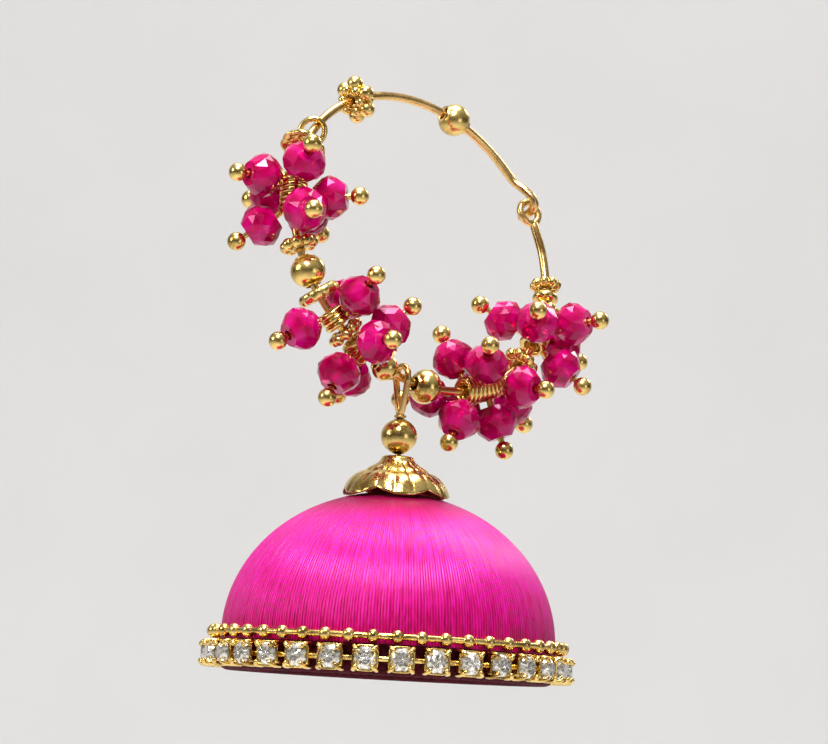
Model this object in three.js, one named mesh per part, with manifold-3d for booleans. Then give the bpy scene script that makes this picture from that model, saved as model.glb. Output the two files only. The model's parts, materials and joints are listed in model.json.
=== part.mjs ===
// Silk thread jhumka earring: a beaded wire hoop with a dome drop hanging from it.
// Millimetres, +Z up, the front faces -Y. The origin is the top of the hoop, where the wire
// passes through the ear. The hoop leans towards the front and the drop hangs plumb.
import * as THREE from 'three';
import Module from 'manifold-3d';

// Driving sizes
const GAP = 0.3; // clearance between neighbouring pieces
const HOOP_RADIUS = 14.5; // to the middle of the wire
const HOOP_WIRE = 0.8; // wire diameter
const HOOP_LEAN = 19.2; // degrees that the bottom of the hoop stands forward
const CLASP_AT = 108; // station of the eye that closes the hoop, degrees

const BEAD_DIAMETER = 4.0; // faceted rondelle
const BEAD_LENGTH = 3.0;
const BEAD_AT = 3.4; // middle of a rondelle, from the hoop wire
const PIN_WIRE = 0.64;
const PIN_BALL = 1.7;
const PIN_PITCH = 0.53; // loops of one cluster touch and are one piece of metal

const DROP_AT = -19.8; // station where the drop hangs, degrees
const EYE_WIRE = 0.6;
const EYE_HEIGHT = 3.4; // from the hoop wire down to the point of the tear shape
const DROP_BEAD = 3.3;
const DROP_BEAD_AT = 5.3; // below the hoop wire
const CAP_TOP = 7.1; // below the hoop wire
const CAP_HEIGHT = 3.7;
const CAP_RADIUS = 4.75;
const CAP_PETALS = 6;
const CAP_SCALLOP = 0.6; // rise of the rim from the tip of a petal to the notch
const CAP_WALL = 0.5;

const DOME_RADIUS = 15.0;
const DOME_HEIGHT = 13.4; // from the equator up to the crown
const DOME_SKIRT = 3.3; // straight part below the equator
const DOME_WALL = 1.5;
const DOME_HOLE = 1.3; // radius of the hole in the crown
const CAP_SEAT = 0.45; // how far the crown stands up inside the cap
const EQUATOR = CAP_TOP + CAP_HEIGHT - CAP_SEAT + DOME_HEIGHT; // below the hoop wire at the drop

const CHAIN_BALL = 1.15;
const CHAIN_BALLS = 46;
const CHAIN_WIRE = 0.5;
const STONES = 32;
const CUP = 2.4; // width of one square cup
const CUP_DEPTH = 1.3;
const STONE = 2.0; // width of one stone

const ROUND_BEAD = 3.2; // diameters of the pieces threaded on the hoop
const EAR_BEAD = 3.0;
const SMALL_BEAD = 2.5;
const SPACER = 3.6;
const SMALL_SPACER = 3.0;
const DAISY_SPACER = 4.5;
const FLUTED_DISC = 4.0;
const STOP_RING = 2.4;
const CLUSTER_CAP = 4.2;

const ROUND_SIDES = 12;
const DOME_SIDES = 32;

// Pieces threaded on the hoop: station in degrees from the bottom, outer diameter, and
// length as a share of the diameter
const THREADED = [
  { name: 'ear_bead', at: 153.5, shape: 'ball', diameter: EAR_BEAD, share: 0.9 },
  { name: 'daisy_spacer', at: -159.9, shape: 'knobbed', diameter: DAISY_SPACER, share: 0.36 },
  { name: 'stop_ring', at: -132, shape: 'ring', diameter: STOP_RING, share: 0.25 },
  { name: 'cluster_cap', at: -125.5, shape: 'cap', diameter: CLUSTER_CAP, share: 0.33 },
  { name: 'knobbed_spacer_1', at: -83.2, shape: 'knobbed', diameter: SPACER, share: 0.3 },
  { name: 'round_bead_1', at: -73, shape: 'ball', diameter: ROUND_BEAD, share: 0.87 },
  { name: 'fluted_disc', at: -64.0, shape: 'fluted', diameter: FLUTED_DISC, share: 0.25 },
  { name: 'knobbed_spacer_2', at: -47.3, shape: 'knobbed', diameter: SPACER, share: 0.22 },
  { name: 'small_bead', at: -27.7, shape: 'ball', diameter: SMALL_BEAD, share: 0.84 },
  { name: 'round_bead_2', at: -9.5, shape: 'ball', diameter: ROUND_BEAD, share: 0.81 },
  { name: 'knobbed_spacer_3', at: 40.5, shape: 'knobbed', diameter: SPACER, share: 0.3 },
  { name: 'end_spacer_1', at: 68.2, shape: 'knobbed', diameter: SMALL_SPACER, share: 0.27 },
  { name: 'end_bead', at: 73.6, shape: 'ball', diameter: SMALL_BEAD, share: 0.52 },
  { name: 'end_spacer_2', at: 79.0, shape: 'knobbed', diameter: SMALL_SPACER, share: 0.27 },
];

// Clusters: station of the middle loop in degrees
const CLUSTERS = [
  { name: 'cluster_1_pins', at: -102.5 },
  { name: 'cluster_2_pins', at: -53.8 },
  { name: 'cluster_3_pins', at: -39.8 },
  { name: 'cluster_4_pins', at: 17.0 },
  { name: 'cluster_5_pins', at: 56.0 },
];

// Headpins in order along the wire: turn round the wire and lean along it, in degrees.
// A turn of 0 points away from the middle of the hoop and 90 points to the front.
const PINS = [
  { cluster: 1, around: 356, lean: 17 },
  { cluster: 1, around: 69, lean: -9 },
  { cluster: 1, around: 276, lean: -12 },
  { cluster: 1, around: 209, lean: 10 },
  { cluster: 1, around: 135, lean: 1 },
  { cluster: 1, around: 310, lean: 28 },
  { cluster: 1, around: 71, lean: 23 },
  { cluster: 2, around: 345, lean: -8 },
  { cluster: 2, around: 192, lean: -7 },
  { cluster: 2, around: 112, lean: -15 },
  { cluster: 3, around: 346, lean: 13 },
  { cluster: 3, around: 73, lean: 5 },
  { cluster: 3, around: 145, lean: 9 },
  { cluster: 3, around: 280, lean: 16 },
  { cluster: 4, around: 256, lean: -35 },
  { cluster: 4, around: 191, lean: 0 },
  { cluster: 4, around: 350, lean: -45 },
  { cluster: 4, around: 282, lean: 6 },
  { cluster: 4, around: 118, lean: -18 },
  { cluster: 4, around: 355, lean: -5 },
  { cluster: 4, around: 226, lean: 29 },
  { cluster: 4, around: 63, lean: 3 },
  { cluster: 4, around: 330, lean: 31 },
  { cluster: 5, around: 24, lean: -17 },
  { cluster: 5, around: 199, lean: 7 },
  { cluster: 5, around: 124, lean: -16 },
  { cluster: 5, around: 347, lean: 13 },
  { cluster: 5, around: 62, lean: 5 },
];

const GOLD = { color: 0xe8b83a, roughness: 0.25, metalness: 1.0 };
const PINK = { color: 0xb80c58, roughness: 0.15, metalness: 0.0 };
const SILK = { color: 0xd80f7c, roughness: 0.5, metalness: 0.0 };
const CRYSTAL = { color: 0xe6e4de, roughness: 0.1, metalness: 0.6 };

const wasm = await Module();
wasm.setup();

const radians = THREE.MathUtils.degToRad;
const X = new THREE.Vector3(1, 0, 0);
const UP = new THREE.Vector3(0, 0, 1);
const lean = radians(HOOP_LEAN);
const hoopDown = new THREE.Vector3(0, -Math.sin(lean), -Math.cos(lean));
const hoopFront = new THREE.Vector3(0, -Math.cos(lean), Math.sin(lean));
const hoopMiddle = hoopDown.clone().multiplyScalar(HOOP_RADIUS);

// Where a station lies on the wire, with the directions along the wire and outwards there
function station(degrees) {
  const angle = radians(degrees);
  const outward = X.clone().multiplyScalar(Math.sin(angle)).addScaledVector(hoopDown, Math.cos(angle));
  const along = X.clone().multiplyScalar(Math.cos(angle)).addScaledVector(hoopDown, -Math.sin(angle));
  const point = hoopMiddle.clone().addScaledVector(outward, HOOP_RADIUS);
  return { point, outward, along };
}

function pinDirection(degrees, around, tilt) {
  const { outward, along } = station(degrees);
  const turn = radians(around);
  const slope = radians(tilt);
  return outward.multiplyScalar(Math.cos(slope) * Math.cos(turn))
    .addScaledVector(hoopFront, Math.cos(slope) * Math.sin(turn))
    .addScaledVector(along, Math.sin(slope));
}

// Matrix that carries a piece from the Z axis at the origin to an axis at a point
function axisPlacement(point, axis, reference = hoopFront) {
  const z = axis.clone().normalize();
  const x = reference.clone().addScaledVector(z, -reference.dot(z)).normalize();
  const y = z.clone().cross(x);
  return new THREE.Matrix4().makeBasis(x, y, z).setPosition(point);
}

// Solid turned about Z from pairs of radius and height
function turned(profile, sides, closed = false) {
  const points = profile.map(([r, z]) => new THREE.Vector2(r, z));
  if (closed) points.push(points[0].clone());
  const geometry = new THREE.LatheGeometry(points, sides);
  geometry.rotateX(Math.PI / 2);
  return geometry;
}

function toManifold(geometry) {
  const plain = new THREE.BufferGeometry();
  plain.setAttribute('position', geometry.getAttribute('position').clone());
  if (geometry.index) plain.setIndex(geometry.index.clone());
  const merged = mergeNear(plain);
  const mesh = new wasm.Mesh({ numProp: 3, vertProperties: merged.positions, triVerts: merged.triangles });
  const solid = new wasm.Manifold(mesh);
  return solid.volume() < 0 ? flipped(merged) : solid;
}

function flipped({ positions, triangles }) {
  const turnedOver = triangles.slice();
  for (let i = 0; i < turnedOver.length; i += 3) {
    [turnedOver[i], turnedOver[i + 1]] = [turnedOver[i + 1], turnedOver[i]];
  }
  return new wasm.Manifold(new wasm.Mesh({ numProp: 3, vertProperties: positions, triVerts: turnedOver }));
}

// Joins vertices that lie on one another and drops triangles that have no area
function mergeNear(geometry) {
  const source = geometry.getAttribute('position');
  const index = geometry.index ? geometry.index.array : [...Array(source.count).keys()];
  const seen = new Map();
  const positions = [];
  const triangles = [];
  const vertex = (i) => {
    const xyz = [source.getX(i), source.getY(i), source.getZ(i)];
    const key = xyz.map((value) => Math.round(value * 5e3)).join(' ');
    if (!seen.has(key)) {
      seen.set(key, positions.length / 3);
      positions.push(...xyz);
    }
    return seen.get(key);
  };
  for (let i = 0; i < index.length; i += 3) {
    const [a, b, c] = [vertex(index[i]), vertex(index[i + 1]), vertex(index[i + 2])];
    if (a !== b && b !== c && a !== c) triangles.push(a, b, c);
  }
  return { positions: new Float32Array(positions), triangles: new Uint32Array(triangles) };
}

function fromManifold(solid) {
  const { vertProperties, triVerts, numProp } = solid.getMesh();
  const positions = [];
  for (let i = 0; i < vertProperties.length; i += numProp) {
    positions.push(vertProperties[i], vertProperties[i + 1], vertProperties[i + 2]);
  }
  const geometry = new THREE.BufferGeometry();
  geometry.setAttribute('position', new THREE.Float32BufferAttribute(positions, 3));
  geometry.setIndex([...triVerts]);
  return geometry;
}

// One solid from several that touch or cross
function joined(geometries) {
  const solids = geometries.map(toManifold);
  return fromManifold(wasm.Manifold.union(solids));
}

// Wire of round section along a curve
function wire(curve, diameter, sides, steps) {
  const section = new THREE.Shape();
  for (let i = 0; i < sides; i += 1) {
    const angle = ((i + 0.5) * 2 * Math.PI) / sides;
    const at = [(diameter / 2) * Math.cos(angle), (diameter / 2) * Math.sin(angle)];
    if (i === 0) section.moveTo(...at);
    else section.lineTo(...at);
  }
  section.closePath();
  return new THREE.ExtrudeGeometry(section, { steps, extrudePath: curve, curveSegments: 1 });
}

function ball(diameter, around, rows) {
  const geometry = new THREE.SphereGeometry(diameter / 2, around, rows);
  geometry.rotateX(Math.PI / 2);
  return geometry;
}

// Flat slice with round lobes on its edge and a hole through it, centred on Z
function lobed(diameter, length, lobes, depth, bore) {
  const outline = new THREE.Shape();
  const perLobe = 3;
  for (let i = 0; i < lobes * perLobe; i += 1) {
    const angle = (i * 2 * Math.PI) / (lobes * perLobe);
    const bulge = Math.abs(Math.sin((angle * lobes) / 2));
    const r = diameter / 2 - depth * (1 - bulge);
    const at = [r * Math.cos(angle), r * Math.sin(angle)];
    if (i === 0) outline.moveTo(...at);
    else outline.lineTo(...at);
  }
  outline.closePath();
  const hole = new THREE.Path();
  hole.absarc(0, 0, bore, 0, 2 * Math.PI, true);
  outline.holes.push(hole);
  const geometry = new THREE.ExtrudeGeometry(outline, {
    depth: length, bevelEnabled: false, curveSegments: 5,
  });
  geometry.translate(0, 0, -length / 2);
  return geometry;
}

const bore = HOOP_WIRE / 2 + GAP; // hole of every piece threaded on the hoop

const shapes = {
  ball({ diameter, length }) {
    const r = diameter / 2;
    const h = length / 2;
    const mouth = Math.max(bore + 0.15, r * 0.62);
    return turned([
      [bore, -h], [mouth, -h], [r * 0.88, -h * 0.6], [r, -h * 0.18],
      [r, h * 0.18], [r * 0.88, h * 0.6], [mouth, h], [bore, h],
    ], ROUND_SIDES, true);
  },
  knobbed({ diameter, length }) {
    return lobed(diameter, length, 8, diameter * 0.09, bore);
  },
  fluted({ diameter, length }) {
    return lobed(diameter, length, 14, diameter * 0.05, bore);
  },
  ring({ diameter, length }) {
    const r = diameter / 2;
    const inner = Math.max(bore, r - 0.55);
    return turned([
      [inner, -length / 2], [r - 0.1, -length / 2], [r, 0], [r - 0.1, length / 2], [inner, length / 2],
    ], ROUND_SIDES, true);
  },
  // Small cap, its hollow side towards the cluster below it
  cap({ diameter, length }) {
    const r = diameter / 2;
    const h = length / 2;
    return turned([
      [bore, -h], [r * 0.5, -h], [r * 0.88, 0], [r, h], [r - 0.4, h], [r * 0.62, h * 0.2], [bore, -h + 0.5],
    ], ROUND_SIDES, true);
  },
};

function hoopWire() {
  const points = [];
  const first = CLASP_AT + 16;
  for (let degrees = first; degrees <= 360 + CLASP_AT - 10; degrees += 6) points.push([degrees, 0]);
  const reach = HOOP_WIRE / 2 + GAP + 0.45;
  // The free end steps to the front of the eye, then turns back through it
  const hook = [
    [CLASP_AT, -reach], [CLASP_AT + 0.1, 0], [CLASP_AT + 1.2, reach * 0.85],
    [CLASP_AT + 4.5, reach], [CLASP_AT + 9, reach * 0.55], [CLASP_AT + 12.5, 0.12],
  ];
  const end = 360 + CLASP_AT - 4.2;
  const path = [...hook, ...points, [end, 0]].map(([degrees, front]) => (
    station(degrees).point.addScaledVector(hoopFront, front)
  ));
  const curve = new THREE.CatmullRomCurve3(path, false, 'centripetal');
  const eyeInner = HOOP_WIRE / 2 + GAP;
  const eye = new THREE.TorusGeometry(eyeInner + 0.35, 0.35, 6, 14);
  eye.applyMatrix4(axisPlacement(station(CLASP_AT).point, hoopFront, X));
  return joined([wire(curve, HOOP_WIRE, 6, 58), eye]);
}

function threadedPiece(row) {
  const { point, along } = station(row.at);
  const geometry = shapes[row.shape]({ diameter: row.diameter, length: row.diameter * row.share });
  geometry.applyMatrix4(axisPlacement(point, along));
  return geometry;
}

const loopRadius = bore + PIN_WIRE / 2; // middle of a headpin's loop
const beadStart = BEAD_AT - BEAD_LENGTH / 2;
const ballAt = BEAD_AT + BEAD_LENGTH / 2 + GAP + PIN_BALL / 2;

// Station of each pin, from its place in the bunch of loops
function pinStations(cluster) {
  const rows = PINS.filter((row) => row.cluster === cluster);
  const pitch = THREE.MathUtils.radToDeg(PIN_PITCH / HOOP_RADIUS);
  return rows.map((row, slot) => ({
    ...row, at: CLUSTERS[cluster - 1].at + (slot - (rows.length - 1) / 2) * pitch,
  }));
}

// The loops of one cluster: a ribbed sleeve, one rib to a loop, bent to the hoop
function loopBunch(count, at) {
  const outer = bore + PIN_WIRE;
  const half = (count * PIN_PITCH) / 2;
  const profile = [[bore, -half], [outer - 0.2, -half]];
  for (let i = 0; i < count; i += 1) {
    const middle = (i + 0.5) * PIN_PITCH - half;
    profile.push([outer, middle], [outer - 0.2, middle + PIN_PITCH / 2]);
  }
  profile.push([bore, half]);
  const geometry = turned(profile, 8, true);
  const vertices = geometry.getAttribute('position');
  for (let i = 0; i < vertices.count; i += 1) {
    const turn = THREE.MathUtils.radToDeg(vertices.getZ(i) / HOOP_RADIUS);
    const { point, outward } = station(at + turn);
    point.addScaledVector(hoopFront, vertices.getX(i)).addScaledVector(outward, -vertices.getY(i));
    vertices.setXYZ(i, point.x, point.y, point.z);
  }
  return geometry;
}

function headpin(pin) {
  const { point, outward, along } = station(pin.at);
  const direction = pinDirection(pin.at, pin.around, pin.lean);
  // The wire leaves the loop square to it, then bends to the lean of the bead
  const onLoop = pinDirection(pin.at, pin.around, 0).multiplyScalar(loopRadius + 0.1).add(point);
  const reach = (distance) => point.clone().addScaledVector(direction, distance);
  const path = new THREE.CatmullRomCurve3(
    [onLoop, reach(beadStart - 0.2), reach(BEAD_AT - 0.4), reach(BEAD_AT + 0.6), reach(ballAt)],
    false, 'centripetal',
  );
  const end = ball(PIN_BALL, 8, 4);
  end.applyMatrix4(axisPlacement(reach(ballAt), direction, outward.cross(along)));
  return [wire(path, PIN_WIRE, 5, 4), end];
}

function pinkBead(pin) {
  const r = BEAD_DIAMETER / 2;
  const h = BEAD_LENGTH / 2;
  const hole = PIN_WIRE / 2 + GAP;
  const geometry = turned([
    [hole, -h], [r * 0.55, -h], [r, -h * 0.3], [r, h * 0.3], [r * 0.55, h], [hole, h],
  ], 10, true);
  const { point, outward, along } = station(pin.at);
  const direction = pinDirection(pin.at, pin.around, pin.lean);
  const middle = point.clone().addScaledVector(direction, BEAD_AT);
  geometry.applyMatrix4(axisPlacement(middle, direction, outward.cross(along)));
  return geometry;
}

const dropTop = station(DROP_AT).point; // the drop hangs plumb below this point

function dropFrame(geometry) {
  return geometry.translate(dropTop.x, dropTop.y, dropTop.z);
}

function dropEye() {
  const acrossWire = station(DROP_AT).along.setZ(0).normalize();
  const swing = UP.clone().cross(acrossWire); // level direction in the plane of the eye
  const r = HOOP_WIRE / 2 + GAP + EYE_WIRE / 2 + 0.05;
  const at = (across, height) => swing.clone().multiplyScalar(across).addScaledVector(UP, height);
  const path = [];
  for (let angle = -30; angle <= 210; angle += 20) {
    path.push(at(r * Math.cos(radians(angle)), r * Math.sin(radians(angle))));
  }
  path.push(at(-0.55, -EYE_HEIGHT * 0.62), at(0, -EYE_HEIGHT), at(0.55, -EYE_HEIGHT * 0.62));
  const tear = new THREE.CatmullRomCurve3(path, true, 'centripetal');
  const from = -EYE_HEIGHT + 0.1;
  const to = -(EQUATOR - DOME_HEIGHT) - DOME_WALL - GAP - 0.5;
  const pin = turned([[0, to], [EYE_WIRE / 2, to], [EYE_WIRE / 2, from], [0, from]], 6);
  const stopTop = -(EQUATOR - DOME_HEIGHT) - DOME_WALL - GAP;
  const stop = turned([
    [0, stopTop - 1], [DOME_HOLE + 0.3, stopTop - 1], [DOME_HOLE + 0.7, stopTop - 0.5],
    [DOME_HOLE + 0.7, stopTop], [0, stopTop],
  ], ROUND_SIDES);
  return dropFrame(joined([closedWire(tear, EYE_WIRE, 6, 26), pin, stop]));
}

// Wire round a closed curve that lies in an upright plane
function closedWire(curve, diameter, sides, steps) {
  const positions = [];
  const index = [];
  const middle = new THREE.Vector3(0, 0, -EYE_HEIGHT * 0.3);
  for (let i = 0; i < steps; i += 1) {
    const point = curve.getPointAt(i / steps);
    const tangent = curve.getTangentAt(i / steps);
    const normal = point.clone().sub(middle);
    normal.addScaledVector(tangent, -normal.dot(tangent)).normalize();
    const side = tangent.clone().cross(normal);
    for (let j = 0; j < sides; j += 1) {
      const angle = (j * 2 * Math.PI) / sides;
      const out = point.clone().addScaledVector(normal, (diameter / 2) * Math.cos(angle));
      out.addScaledVector(side, (diameter / 2) * Math.sin(angle));
      positions.push(out.x, out.y, out.z);
    }
  }
  const at = (i, j) => (i % steps) * sides + (j % sides);
  for (let i = 0; i < steps; i += 1) {
    for (let j = 0; j < sides; j += 1) {
      index.push(at(i, j), at(i + 1, j), at(i + 1, j + 1), at(i, j), at(i + 1, j + 1), at(i, j + 1));
    }
  }
  const geometry = new THREE.BufferGeometry();
  geometry.setAttribute('position', new THREE.Float32BufferAttribute(positions, 3));
  geometry.setIndex(index);
  return geometry;
}

function dropBead() {
  const r = DROP_BEAD / 2;
  const hole = EYE_WIRE / 2 + GAP;
  const h = r * 0.94;
  const profile = [
    [hole, -h], [r * 0.45, -h], [r * 0.8, -h * 0.64], [r, -h * 0.2],
    [r, h * 0.2], [r * 0.8, h * 0.64], [r * 0.45, h], [hole, h],
  ];
  return dropFrame(turned(profile.map(([a, z]) => [a, z - DROP_BEAD_AT]), ROUND_SIDES, true));
}

// Cap with petals: rings of the turned shape swell and dip round the axis
function beadCap() {
  const hole = EYE_WIRE / 2 + GAP;
  const rim = CAP_RADIUS;
  const rows = [ // radius, height, share of the petals' swell
    { r: hole, z: 0, petal: 0 },
    { r: rim * 0.27, z: 0, petal: 0 },
    { r: rim * 0.36, z: -CAP_HEIGHT * 0.14, petal: 0 },
    { r: rim * 0.55, z: -CAP_HEIGHT * 0.33, petal: 0.2 },
    { r: rim * 0.79, z: -CAP_HEIGHT * 0.49, petal: 0.5 },
    { r: rim, z: -CAP_HEIGHT * 0.9, petal: 1 },
    { r: rim - 0.2, z: -CAP_HEIGHT * 0.93, petal: 1 },
    { r: rim * 0.72, z: -CAP_HEIGHT * 0.52 - CAP_WALL, petal: 0.5 },
    { r: rim * 0.45, z: -CAP_HEIGHT * 0.3 - CAP_WALL, petal: 0.1 },
    { r: hole, z: -CAP_WALL - CAP_HEIGHT * 0.1, petal: 0 },
  ];
  const around = CAP_PETALS * 6;
  const positions = [];
  const index = [];
  rows.forEach(({ r, z, petal }) => {
    for (let j = 0; j < around; j += 1) {
      const angle = (j * 2 * Math.PI) / around;
      const swell = Math.abs(Math.cos((angle * CAP_PETALS) / 2)) - 0.6;
      const radius = r + petal * swell * CAP_SCALLOP * 0.5;
      const height = z - CAP_TOP - petal * swell * CAP_SCALLOP;
      positions.push(radius * Math.cos(angle), radius * Math.sin(angle), height);
    }
  });
  const at = (i, j) => (i % rows.length) * around + (j % around);
  for (let i = 0; i < rows.length; i += 1) {
    for (let j = 0; j < around; j += 1) {
      index.push(at(i, j), at(i + 1, j), at(i + 1, j + 1), at(i, j), at(i + 1, j + 1), at(i, j + 1));
    }
  }
  const geometry = new THREE.BufferGeometry();
  geometry.setAttribute('position', new THREE.Float32BufferAttribute(positions, 3));
  geometry.setIndex(index);
  return dropFrame(fromManifold(toManifold(geometry)));
}

function silkDome() {
  const outer = [];
  const inner = [];
  const innerRadius = DOME_RADIUS - DOME_WALL;
  const innerHeight = DOME_HEIGHT - DOME_WALL;
  for (let i = 0; i <= 7; i += 1) {
    const angle = (i * Math.PI) / 14;
    outer.push([DOME_RADIUS * Math.cos(angle), DOME_HEIGHT * Math.sin(angle)]);
  }
  for (let i = 0; i <= 5; i += 1) {
    const angle = (i * Math.PI) / 10;
    inner.push([innerRadius * Math.cos(angle), innerHeight * Math.sin(angle)]);
  }
  const keep = ([r]) => r > DOME_HOLE + 0.5;
  const profile = [
    ...outer.filter(keep), [DOME_HOLE, DOME_HEIGHT - 0.1], [DOME_HOLE, innerHeight + 0.05],
    ...inner.filter(keep).reverse(),
    [innerRadius, -DOME_SKIRT + 0.3], [innerRadius + 0.3, -DOME_SKIRT],
    [DOME_RADIUS - 0.4, -DOME_SKIRT], [DOME_RADIUS, -DOME_SKIRT + 0.4],
  ];
  return dropFrame(turned(profile.map(([r, z]) => [r, z - EQUATOR]), DOME_SIDES, true));
}

const chainRadius = DOME_RADIUS + GAP + CHAIN_BALL / 2;
const cupTop = EQUATOR - 0.2 + CHAIN_BALL / 2 + GAP; // below the hoop wire at the drop

// Ball chain: rings of points round the chain's centre circle, wide at a ball, narrow at a link
function ballChain() {
  const sides = 6;
  const pitch = 360 / CHAIN_BALLS;
  const rows = [
    { part: -0.2, r: CHAIN_BALL / 2 }, { part: 0.2, r: CHAIN_BALL / 2 }, { part: 0.5, r: CHAIN_WIRE / 2 },
  ];
  const positions = [];
  const index = [];
  for (let i = 0; i < CHAIN_BALLS; i += 1) {
    rows.forEach(({ part, r }) => {
      const turn = radians((i + part) * pitch);
      for (let j = 0; j < sides; j += 1) {
        const angle = (j * 2 * Math.PI) / sides;
        const radius = chainRadius + r * Math.cos(angle);
        positions.push(radius * Math.cos(turn), radius * Math.sin(turn), r * Math.sin(angle) - EQUATOR + 0.2);
      }
    });
  }
  const steps = CHAIN_BALLS * rows.length;
  const at = (i, j) => (i % steps) * sides + (j % sides);
  for (let i = 0; i < steps; i += 1) {
    for (let j = 0; j < sides; j += 1) {
      index.push(at(i, j), at(i + 1, j), at(i + 1, j + 1), at(i, j), at(i + 1, j + 1), at(i, j + 1));
    }
  }
  const geometry = new THREE.BufferGeometry();
  geometry.setAttribute('position', new THREE.Float32BufferAttribute(positions, 3));
  geometry.setIndex(index);
  return dropFrame(fromManifold(toManifold(geometry)));
}

// Cup chain: square cups with a cut stone in each, joined by short bars
function stoneChain() {
  const back = DOME_RADIUS + GAP;
  const middle = -(cupTop + CUP / 2);
  const solids = [];
  const barLength = (2 * Math.PI * (back + 0.5)) / STONES - CUP + 0.7;
  for (let i = 0; i < STONES; i += 1) {
    const turn = (i * 2 * Math.PI) / STONES;
    const cup = new THREE.BoxGeometry(CUP_DEPTH, CUP, CUP);
    cup.translate(back + CUP_DEPTH / 2 + 0.02, 0, middle);
    const stone = turned([
      [0, 0], [STONE / 2, 0], [STONE * 0.32, 0.65], [0, 0.65],
    ], 8);
    stone.rotateZ(Math.PI / 8);
    stone.rotateY(Math.PI / 2);
    stone.translate(back + CUP_DEPTH, 0, middle);
    const bar = new THREE.BoxGeometry(0.5, barLength, 0.7);
    bar.translate(back + 0.5, 0, middle);
    const halfway = new THREE.Matrix4().makeRotationZ(turn + Math.PI / STONES);
    const here = new THREE.Matrix4().makeRotationZ(turn);
    solids.push(cup.applyMatrix4(here), stone.applyMatrix4(here), bar.applyMatrix4(halfway));
  }
  return dropFrame(joined(solids));
}

function piece(name, geometry, look) {
  geometry.deleteAttribute('uv');
  geometry.deleteAttribute('normal');
  geometry.computeVertexNormals();
  const mesh = new THREE.Mesh(geometry, new THREE.MeshStandardMaterial(look));
  mesh.name = name;
  return mesh;
}

const earring = new THREE.Group();
earring.name = 'jhumka_earring';

earring.add(piece('hoop_wire', hoopWire(), GOLD));
THREADED.forEach((row) => earring.add(piece(row.name, threadedPiece(row), GOLD)));

let beadCount = 0;
CLUSTERS.forEach(({ name, at }, i) => {
  const pins = pinStations(i + 1);
  earring.add(piece(name, joined([loopBunch(pins.length, at), ...pins.flatMap(headpin)]), GOLD));
  pins.forEach((pin) => {
    beadCount += 1;
    earring.add(piece(`pink_bead_${beadCount}`, pinkBead(pin), PINK));
  });
});

const drop = new THREE.Group();
drop.name = 'jhumka_drop';
drop.add(piece('drop_eye', dropEye(), GOLD));
drop.add(piece('drop_bead', dropBead(), GOLD));
drop.add(piece('bead_cap', beadCap(), GOLD));
drop.add(piece('silk_dome', silkDome(), SILK));
drop.add(piece('ball_chain', ballChain(), GOLD));
drop.add(piece('stone_chain', stoneChain(), CRYSTAL));
earring.add(drop);

export default earring;
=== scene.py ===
"""Silk thread jhumka earring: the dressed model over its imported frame.

The beaded hoop leans towards the front and the dome drop hangs plumb from it. Shapes are
worked out in millimetres and written in metres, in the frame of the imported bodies.
"""
import json
import logging
import math
import random
from dataclasses import dataclass, field
from enum import Enum
from typing import Callable, Iterable, Sequence

import bmesh
import bpy
from mathutils import Matrix, Vector

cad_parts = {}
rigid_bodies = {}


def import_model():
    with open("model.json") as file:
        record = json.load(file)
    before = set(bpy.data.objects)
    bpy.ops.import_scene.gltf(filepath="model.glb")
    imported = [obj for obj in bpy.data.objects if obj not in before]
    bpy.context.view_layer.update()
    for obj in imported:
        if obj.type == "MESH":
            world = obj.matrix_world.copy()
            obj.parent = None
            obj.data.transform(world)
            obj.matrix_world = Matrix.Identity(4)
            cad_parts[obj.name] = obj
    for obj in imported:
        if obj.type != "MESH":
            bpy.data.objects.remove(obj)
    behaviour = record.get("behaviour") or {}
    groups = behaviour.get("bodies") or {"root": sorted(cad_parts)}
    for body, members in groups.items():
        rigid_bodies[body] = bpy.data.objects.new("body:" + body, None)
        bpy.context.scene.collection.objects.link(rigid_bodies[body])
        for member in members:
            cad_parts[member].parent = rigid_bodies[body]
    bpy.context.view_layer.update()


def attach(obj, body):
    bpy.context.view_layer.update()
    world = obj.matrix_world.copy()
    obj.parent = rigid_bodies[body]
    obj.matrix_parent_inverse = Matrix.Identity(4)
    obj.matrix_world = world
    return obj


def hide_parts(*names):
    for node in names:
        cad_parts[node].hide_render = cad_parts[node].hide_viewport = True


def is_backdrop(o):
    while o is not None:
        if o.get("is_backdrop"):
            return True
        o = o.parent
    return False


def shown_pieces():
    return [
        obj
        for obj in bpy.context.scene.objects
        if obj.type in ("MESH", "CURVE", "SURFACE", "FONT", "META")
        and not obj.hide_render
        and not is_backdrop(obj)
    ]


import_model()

log = logging.getLogger("jhumka")

MM = 0.001
PER_METRE = 1000.0  # millimetres
GAP = 0.3  # clearance between neighbouring pieces, in millimetres
Row = Sequence[float]


class Body(Enum):
    """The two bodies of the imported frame."""

    HOOP = "hoop"
    DROP = "drop"


class Slot(Enum):
    """Material slots of the record."""

    GOLD = "gold"
    PINK = "pink_bead"
    SILK = "silk"
    CRYSTAL = "crystal"


class Kind(Enum):
    """Forms of the pieces threaded on the hoop."""

    BALL = "round bead"
    KNOBBED = "ring of grains"
    DAISY = "round spacer with large grains"
    FLUTED = "fluted disc"
    RING = "wire ring"
    CAP = "petalled cap"


# Shader maths


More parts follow.
